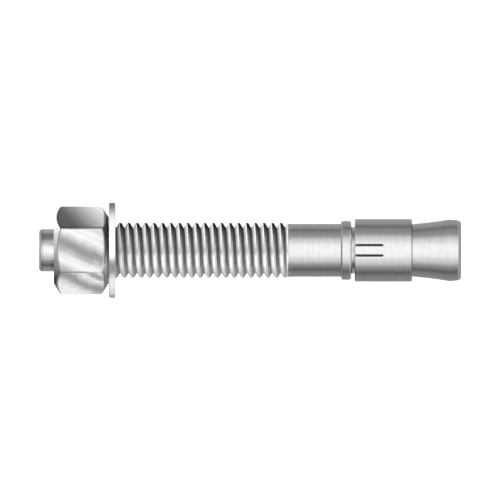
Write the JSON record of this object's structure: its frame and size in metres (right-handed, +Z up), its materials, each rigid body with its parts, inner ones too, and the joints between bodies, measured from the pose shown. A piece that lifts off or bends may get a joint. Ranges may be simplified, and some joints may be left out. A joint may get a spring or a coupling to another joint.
{
  "type": "wedge anchor",
  "caption": "Threaded masonry stud with a flared wedge tip, a split expansion clip, a plain washer and a hex nut.",
  "frame": {"origin": "on the stud's axis, in the plane of the washer's face that bears on the fixture", "axes": "+X along the anchor from its struck end to its flared tip, +Z up. The axis slopes down towards the tip by 2.87 degrees, as the anchor lies on a bench on the washer's rim and the tip's rim. One flat of the nut and the clip's slits face up"},
  "size_m": [0.098, 0.022, 0.0221],
  "materials": {
    "stud_steel": "bright turned and rolled",
    "nut_steel": "bright, with light machining marks",
    "washer_steel": "bright, tumbled",
    "clip_steel": "bright rolled strip"
  },
  "bodies": {
    "stud": {"anchor_stud": "stud_steel"},
    "washer": {"flat_washer": "washer_steel"},
    "nut": {"hex_nut": "nut_steel"},
    "clip": {"expansion_clip": "clip_steel"}
  },
  "joints": [
    {"name": "washer_slide", "type": "slide", "parent": "stud", "child": "washer", "axis": [0.9987, 0, -0.0501], "range_m": [-0.0088, 0.03909]},
    {"name": "nut_turn", "type": "hinge", "parent": "washer", "child": "nut", "pos_m": [0, 0, 0], "axis": [0.9987, 0, -0.0501], "range_deg": [-1620, 7200]},
    {"name": "clip_slide", "type": "slide", "parent": "stud", "child": "clip", "axis": [0.9987, 0, -0.0501], "range_m": [-0.00075, 0]}
  ],
  "couplings": [
    {"joint": "washer_slide", "follows": "nut_turn", "m_per_rad": 0.00031096}
  ]
}
